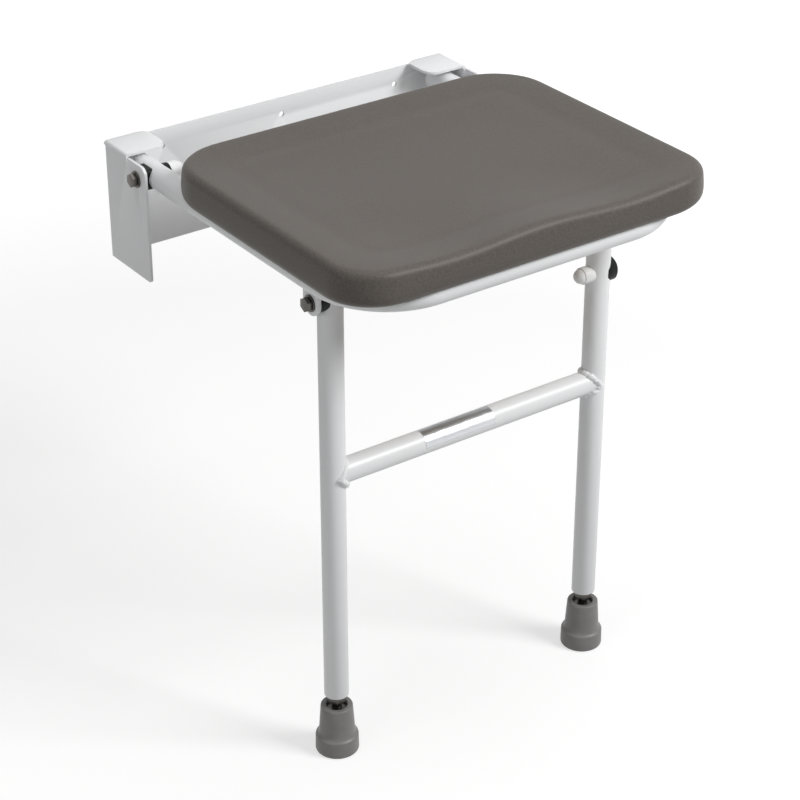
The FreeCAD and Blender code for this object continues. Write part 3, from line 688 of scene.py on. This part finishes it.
def bolt_pieces():
    """Hexagon bolts and washers of the four pivots."""
    for name, node, body in (
            ("wall_hexagon_bolts", "wall_pivot_bolts", "seat"),
            ("wall_steel_washers", "wall_pivot_washers", "seat"),
            ("leg_hexagon_bolts", "leg_pivot_bolts", "leg_frame"),
            ("leg_steel_washers", "leg_pivot_washers", "leg_frame")):
        piece = carried(name, node, PIECE_EDGE)
        finish_piece(piece, body, "zinc_steel", [node], 30)


def plug_pieces():
    """White plugs in the tails of the seat tube, black ones in the tops of the legs."""
    piece = carried("seat_tube_plugs", "tube_plugs", 0.3)
    finish_piece(piece, "seat", "white_cap", ["tube_plugs"], 30)
    piece = carried("leg_top_plugs", "leg_plugs", 0.3)
    finish_piece(piece, "leg_frame", "black_nylon", ["leg_plugs"], 30)


def underside_pieces():
    """Cross members, board and screws under the pad."""
    for name, node, slot in (
            ("front_cross_angle", "front_angle", "powder_coat_white"),
            ("rear_cross_strap", "rear_strap", "powder_coat_white"),
            ("pad_plywood_board", "pad_board", "board"),
            ("pan_head_screws", "pad_screws", "zinc_steel")):
        piece = carried(name, node, 0.35)
        finish_piece(piece, "seat", slot, [node], 30)


def foil_patch():
    """Bare foil stuck round the front of the crossbar."""
    begin()
    bpy.ops.mesh.primitive_grid_add(x_subdivisions=36, y_subdivisions=18, size=2)
    piece = bpy.context.object
    film = 0.1
    radius = TUBE_RADIUS + 0.12
    left, right = -60.0, 26.0
    low, high = math.radians(-4), math.radians(104)
    for vertex in piece.data.vertices:
        u, v = (vertex.co.x + 1) / 2, (vertex.co.y + 1) / 2
        angle = low + (high - low) * v
        x = left + (right - left) * u
        y, z = LEG_Y - radius * math.cos(angle), CROSSBAR_Z + radius * math.sin(angle)
        vertex.co = Vector((x, y, z)) * MM
    named(piece, "bare_foil_patch")
    take(piece)
    edit()
    face_outwards()
    apply_modifier(piece, "film", "SOLIDIFY", thickness=film * MM, offset=1)
    finish_piece(piece, "leg_frame", "foil", (), 40)


# The pad


def pad_edge():
    """Profile of the pad's rim, from the dish outwards and down to the groove over the tube.

    Each point is (outward offset from the lower edge, height above the tube's centre line).
    """
    crest, foot, rim, tuck_rise = PAD_CREST, PAD_FOOT, PAD_RIM, 13.0
    top = [(-36.0, crest - 0.7), (-28.0, crest - 0.35), (-20.0, crest - 0.1), (-12.0, crest), (-4.0, crest)]
    for i in range(7):
        angle = math.radians(15 * i)
        top.append((PAD_BULGE - 1.0 - rim + rim * math.sin(angle), crest - rim * (1 - math.cos(angle))))
    side = [(PAD_BULGE - 0.5, crest - 14.0), (PAD_BULGE - 0.1, crest - 19.0), (PAD_BULGE, foot + 16.0)]
    tuck = []
    for degrees in (78, 60, 42, 25, 10, 1):
        angle = math.radians(degrees)
        tuck.append((PAD_BULGE * math.sin(angle), foot + tuck_rise * (1 - math.cos(angle))))
    return top + side + tuck


def pad_corner(offset, height, rear):
    """Plan radius of a corner: the lower edge turns wider than the rim above it."""
    foot, full = (59.3, 62.7) if rear else (55.5, 47.0)
    if height < PAD_TUCK_TOP:
        return foot + (full - foot) * offset / PAD_BULGE
    return max(full + offset - PAD_BULGE, 8.0)


def pad_outline(side, fraction, offset, height):
    """A point of the pad's plan, on one of its four sides, at a fraction -1..1 of that side."""
    size = sizes()
    half_width = size.pad_half_width / MM + offset
    front = -size.pad_front / MM - offset
    rear = -size.pad_rear / MM + offset
    middle = (front + rear) / 2
    half_depth = (rear - front) / 2
    if side in ("left", "right"):
        radius = pad_corner(offset, height, fraction > 0)
        straight = half_depth - radius
    else:
        radius = pad_corner(offset, height, side == "rear")
        straight = half_width - radius
    run = abs(fraction) * (straight + radius * math.pi / 4)
    sign = 1 if fraction >= 0 else -1
    if run <= straight:
        along, back = run, 0.0
    else:
        angle = (run - straight) / radius
        along, back = straight + radius * math.sin(angle), radius * (1 - math.cos(angle))
    if side == "right":
        return half_width - back, middle + sign * along
    if side == "left":
        return -half_width + back, middle + sign * along
    if side == "rear":
        return sign * along, rear - back
    return sign * along, front + back


def seat_pad_piece():
    """A grid whose square rings become the rings of the pad: dish, rim, sides and lower edge."""
    size = sizes()
    edge = pad_edge()
    inner, thigh_reach, thigh_width, wave_low, wave_rise = 12, 140, 206, 12, 26
    rings = inner + len(edge) - 1
    begin()
    bpy.ops.mesh.primitive_grid_add(x_subdivisions=2 * rings, y_subdivisions=2 * rings, size=2 * rings)
    piece = bpy.context.object
    dish = size.pad_dish / MM
    wave = size.thigh_wave / MM
    front = -size.pad_front / MM
    middle_y = (front - size.pad_rear / MM) / 2
    half_depth = (-front - size.pad_rear / MM) / 2
    half_width = size.pad_half_width / MM
    for vertex in piece.data.vertices:
        i, j = round(vertex.co.x), round(vertex.co.y)
        ring = max(abs(i), abs(j))
        level = max(ring - inner, 0)
        offset, height = edge[level]
        if ring == 0:
            x, y = 0.0, middle_y
        else:
            if abs(i) >= abs(j):
                side, fraction = ("right" if i > 0 else "left"), j / ring
            else:
                side, fraction = ("rear" if j > 0 else "front"), i / ring
            x, y = pad_outline(side, fraction, offset, height)
        if ring < inner:
            x, y = x * ring / inner, middle_y + (y - middle_y) * ring / inner
            height = PAD_CREST
        across = min(abs(x) / half_width, 1)
        along = min(abs(y - middle_y) / half_depth, 1)
        top = min(max((height - wave_low) / wave_rise, 0), 1)
        height -= dish * (1 - across ** 3) * (1 - along ** 3) * (1 if height > PAD_CREST - 2 else 0)
        near_front = min(max((front + thigh_reach - y) / thigh_reach, 0), 1)
        near_front = near_front * near_front * (3 - 2 * near_front)
        hollow = (1 - math.cos(2 * math.pi * min(abs(x) / thigh_width, 1))) / 2
        height -= wave * hollow * near_front * top
        vertex.co = Vector((x, y, PIVOT_Z + height)) * MM
    named(piece, "moulded_seat_pad")
    add_pad_underside(piece)
    apply_modifier(piece, "round", "SUBSURF", levels=2, render_levels=2)
    finish_piece(piece, "seat", "pad_foam", ["seat_pad"], 60)


def pad_shadow_line_piece():
    """A black band that paints the shadow line between foam and tube: a thin dark strip put where there is
    only shade under the pad's lower edge.
    """
    begin()
    sides = (("front", 1), ("right", 1), ("rear", -1), ("left", -1))
    steps, proud, below, band, thickness = 28, 1.1, 1.4, 2.4, 2.6
    bpy.ops.mesh.primitive_circle_add(vertices=4 * steps, radius=1, fill_type="NOTHING")
    piece = bpy.context.object
    for index, vertex in enumerate(piece.data.vertices):
        side, turn = sides[index // steps]
        fraction = turn * (2 * (index % steps) / steps - 1)
        x, y = pad_outline(side, fraction, proud, PAD_FOOT)
        vertex.co = Vector((x, y, PIVOT_Z + PAD_FOOT - below)) * MM
    named(piece, "painted_shadow_line_band")
    take(piece)
    edit("EDGE")
    bpy.ops.mesh.extrude_edges_move(TRANSFORM_OT_translate={"value": (0, 0, band * MM)})
    face_outwards()
    apply_modifier(piece, "wall", "SOLIDIFY", thickness=thickness * MM, offset=-1)
    # The black finish of this band is painted shadow: it darkens the gap under the pad's edge, where no real
    # part lies.
    finish_piece(piece, "seat", "black_nylon", (), 40)


def select_rim(piece):
    """Selects the open edge of a sheet."""
    take(piece)
    bpy.ops.object.mode_set(mode="EDIT")
    bpy.ops.mesh.select_mode(type="EDGE")
    bpy.ops.mesh.select_all(action="DESELECT")
    bpy.ops.mesh.select_non_manifold(extend=False)


def add_pad_underside(piece):
    """Turns the lower edge under: up beside the tube, over it, and flat against the board."""
    select_rim(piece)
    centre = (0, -(sizes().pad_front + sizes().pad_rear) / 2, 0)
    half = sizes().pad_half_width
    depth = (sizes().pad_front - sizes().pad_rear) / 2
    inside = 0.0
    steps = ((0.8, PAD_FOOT), (2.0, PAD_FOOT + 1.2), (5.0, 10.4), (9.5, 12.9), (24.0, 13.1), (60.0, 13.1))
    for inward, height in steps:
        bpy.ops.mesh.extrude_edges_move()
        leave()
        ring = [v for v in piece.data.vertices if v.select]
        for vertex in ring:
            vertex.co.z = (PIVOT_Z + height) * MM
        bpy.ops.object.mode_set(mode="EDIT")
        step = inward - inside
        inside = inward
        bpy.ops.transform.resize(
            value=(1 - step * MM / half, 1 - step * MM / depth, 1), center_override=centre)
    bpy.ops.mesh.edge_face_add()
    face_outwards()


# Stage


def studio_light(name, place, aim, size, watts):
    """A soft square lamp that looks at a point."""
    lamp = bpy.data.lights.new(name, "AREA")
    lamp.shape = "SQUARE"
    lamp.size = size
    lamp.energy = watts
    holder = bpy.data.objects.new(name, lamp)
    bpy.context.scene.collection.objects.link(holder)
    holder.location = place
    holder.rotation_euler = (Vector(aim) - Vector(place)).to_track_quat("-Z", "Y").to_euler()


def studio_world():
    """Soft grey surroundings that light the seat, white where the camera and reflections look."""
    world = bpy.data.worlds.new("studio_surroundings")
    bpy.context.scene.world = world
    world.use_nodes = True
    tree = world.node_tree
    background = tree.nodes["Background"]
    background.inputs["Color"].default_value = (1, 1, 1, 1)
    strength = add_node(tree, "ShaderNodeMapRange", {"To Min": 0.15, "To Max": 1.0})
    tree.links.new(seen_rays(tree), strength.inputs["Value"])
    tree.links.new(strength.outputs["Result"], background.inputs["Strength"])


def studio_camera():
    """The photograph's view: from the left front, looking down."""
    camera = bpy.data.cameras.new("view")
    camera.lens = 104.4
    camera.sensor_width = 36.0
    camera.clip_end = 100
    holder = bpy.data.objects.new("view", camera)
    bpy.context.scene.collection.objects.link(holder)
    holder.location = (-1.2267, -1.9436, 0.9485)
    azimuth, elevation = math.radians(-35.43), math.radians(29.5)
    back = Vector((math.sin(azimuth) * math.cos(elevation), -math.cos(azimuth) * math.cos(elevation),
                   math.sin(elevation)))
    holder.rotation_euler = (-back).to_track_quat("-Z", "Y").to_euler()
    bpy.context.scene.camera = holder


def studio_floor_piece():
    """The floor under the feet."""
    begin()
    bpy.ops.mesh.primitive_plane_add(size=14, location=(0, 0, FLOOR_Z * MM))
    floor = bpy.context.object
    bpy.ops.object.transform_apply(location=True, rotation=True, scale=True)
    edit()
    bpy.ops.mesh.subdivide(number_cuts=3)
    leave()
    floor.name = "studio_floor"
    floor.data.materials.append(material("floor"))


# Operators


class WALLSEAT_OT_bracket(bpy.types.Operator):
    """Dress the folded wall bracket"""
    bl_idname = "wallseat.bracket"
    bl_label = "Wall Bracket"

    def execute(self, context):
        wall_bracket_piece()
        return {"FINISHED"}


class WALLSEAT_OT_seat_frame(bpy.types.Operator):
    """Bend the seat tube and weld on its lugs"""
    bl_idname = "wallseat.seat_frame"
    bl_label = "Seat Frame"

    def execute(self, context):
        seat_tube_piece()
        lug_pieces()
        return {"FINISHED"}


class WALLSEAT_OT_legs(bpy.types.Operator):
    """Dress the legs and crossbar and lay their weld beads"""
    bl_idname = "wallseat.legs"
    bl_label = "Leg Frame"

    def execute(self, context):
        leg_frame_tubes()
        weld_beads()
        return {"FINISHED"}


class WALLSEAT_OT_pad(bpy.types.Operator):
    """Mould the seat pad"""
    bl_idname = "wallseat.pad"
    bl_label = "Seat Pad"

    def execute(self, context):
        seat_pad_piece()
        pad_shadow_line_piece()
        return {"FINISHED"}


class WALLSEAT_OT_underside(bpy.types.Operator):
    """Dress the cross members, board and screws under the pad"""
    bl_idname = "wallseat.underside"
    bl_label = "Under the Pad"

    def execute(self, context):
        underside_pieces()
        return {"FINISHED"}


class WALLSEAT_OT_pivots(bpy.types.Operator):
    """Dress the bolts, washers, saddles, plugs and nut caps"""
    bl_idname = "wallseat.pivots"
    bl_label = "Pivots and Caps"

    def execute(self, context):
        bolt_pieces()
        saddle_pieces()
        plug_pieces()
        nut_cap_pieces()
        return {"FINISHED"}


class WALLSEAT_OT_buffer(bpy.types.Operator):
    """Mould the rubber buffer on the right leg"""
    bl_idname = "wallseat.buffer"
    bl_label = "Buffer"

    def execute(self, context):
        buffer_piece()
        return {"FINISHED"}


class WALLSEAT_OT_feet(bpy.types.Operator):
    """Mould the ferrules and dress the studs and cups"""
    bl_idname = "wallseat.feet"
    bl_label = "Feet"

    def execute(self, context):
        foot_pieces()
        return {"FINISHED"}


class WALLSEAT_OT_foil(bpy.types.Operator):
    """Stick the bare foil patch on the crossbar"""
    bl_idname = "wallseat.foil"
    bl_label = "Foil Patch"

    def execute(self, context):
        foil_patch()
        return {"FINISHED"}


class WALLSEAT_OT_hidden(bpy.types.Operator):
    """Give the nodes that stay as they are their finishes"""
    bl_idname = "wallseat.hidden"
    bl_label = "Hidden Hardware"

    def execute(self, context):
        slots = {}
        for row in frame["record"]["subparts"]:
            slots[row["node"]] = row["material_slot"]
        for name, node in nodes.items():
            finish = material(slots.get(name, "zinc_steel"))
            node.data.materials.clear()
            node.data.materials.append(finish)
        return {"FINISHED"}


class WALLSEAT_OT_stage(bpy.types.Operator):
    """Set up the floor, surroundings, lamps and camera"""
    bl_idname = "wallseat.stage"
    bl_label = "Studio"

    def execute(self, context):
        studio_floor_piece()
        studio_world()
        studio_light("key_lamp", (1.32, -2.13, 1.78), (0, -0.25, -0.15), 1.1, 68)
        studio_light("fill_lamp", (-2.80, -1.00, 0.63), (0, -0.25, -0.15), 1.8, 13.5)
        studio_light("top_lamp", (0.0, -0.20, 2.30), (0, -0.25, -0.1), 2.0, 21)
        studio_camera()
        context.scene.view_settings.view_transform = "Standard"
        return {"FINISHED"}


class WALLSEAT_PT_panel(bpy.types.Panel):
    bl_idname = "WALLSEAT_PT_panel"
    bl_label = "Fold Down Wall Seat"
    bl_space_type = "VIEW_3D"
    bl_region_type = "UI"
    bl_category = "Wall Seat"

    def draw(self, context):
        for group in (context.scene.wall_seat_sizes, context.scene.wall_seat_colours):
            for key in group.__annotations__:
                self.layout.prop(group, key)
        for operator in OPERATORS:
            self.layout.operator(operator.bl_idname)


OPERATORS = (
    WALLSEAT_OT_bracket,
    WALLSEAT_OT_seat_frame,
    WALLSEAT_OT_legs,
    WALLSEAT_OT_pad,
    WALLSEAT_OT_underside,
    WALLSEAT_OT_pivots,
    WALLSEAT_OT_buffer,
    WALLSEAT_OT_feet,
    WALLSEAT_OT_foil,
    WALLSEAT_OT_hidden,
    WALLSEAT_OT_stage,
)
CLASSES = (SeatSizes, SeatColours) + OPERATORS + (WALLSEAT_PT_panel,)


def register():
    for cls in CLASSES:
        bpy.utils.register_class(cls)
    bpy.types.Scene.wall_seat_sizes = bpy.props.PointerProperty(type=SeatSizes)
    bpy.types.Scene.wall_seat_colours = bpy.props.PointerProperty(type=SeatColours)


def unregister():
    del bpy.types.Scene.wall_seat_colours
    del bpy.types.Scene.wall_seat_sizes
    for cls in reversed(CLASSES):
        bpy.utils.unregister_class(cls)


def main():
    register()
    for operator in OPERATORS:
        prefix, name = operator.bl_idname.split(".")
        getattr(getattr(bpy.ops, prefix), name)()


if __name__ == "__main__":
    main()
